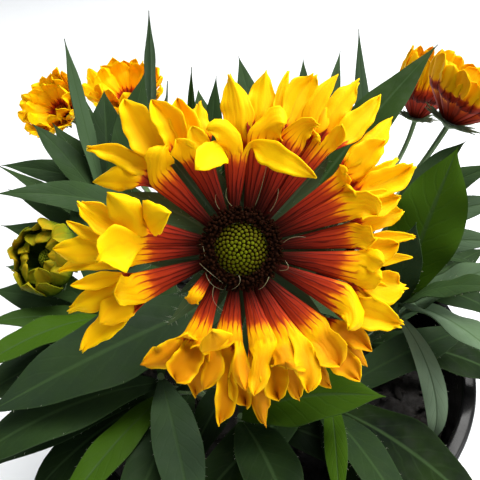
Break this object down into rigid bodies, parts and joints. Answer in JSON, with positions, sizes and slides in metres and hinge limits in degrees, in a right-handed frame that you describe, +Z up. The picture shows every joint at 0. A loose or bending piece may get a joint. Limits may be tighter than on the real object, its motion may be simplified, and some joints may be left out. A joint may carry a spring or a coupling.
{
  "type": "potted blanket flower plant",
  "caption": "Blanket flower plant in a round black nursery pot, with a large yellow and red trumpet-rayed bloom, smaller blooms, buds and lance-shaped leaves.",
  "frame": {"origin": "centre of the pot's flat underside", "axes": "+Z up along the pot's axis, the main bloom faces -Y and up"},
  "size_m": [0.2416, 0.2578, 0.2664],
  "materials": {
    "pot_plastic": "gloss",
    "potting_mix": "matte",
    "leaf": "satin",
    "petal": "matte",
    "young_petal": "matte",
    "outer_floret": "matte",
    "inner_floret": "matte"
  },
  "bodies": {
    "root": {"back_left_bloom_disc": "outer_floret", "back_left_bloom_rays": "petal", "back_left_bloom_stem": "leaf", "back_right_bloom_disc": "outer_floret", "back_right_bloom_rays": "petal", "back_right_bloom_stem": "leaf", "leafy_shoot_1": "leaf", "leafy_shoot_10": "leaf", "leafy_shoot_2": "leaf", "leafy_shoot_3": "leaf", "leafy_shoot_4": "leaf", "leafy_shoot_5": "leaf", "leafy_shoot_6": "leaf", "leafy_shoot_7": "leaf", "leafy_shoot_8": "leaf", "leafy_shoot_9": "leaf", "left_bloom_disc": "outer_floret", "left_bloom_rays": "petal", "left_bloom_stem": "leaf", "main_bloom_disc_centre": "inner_floret", "main_bloom_disc_ring": "outer_floret", "main_bloom_rays": "petal", "main_bloom_stem": "leaf", "opening_bud_disc": "inner_floret", "opening_bud_rays": "young_petal", "opening_bud_stem": "leaf", "pot": "pot_plastic", "right_bloom_disc": "outer_floret", "right_bloom_rays": "petal", "right_bloom_stem": "leaf", "soil": "potting_mix", "tight_bud": "leaf"}
  },
  "joints": []
}
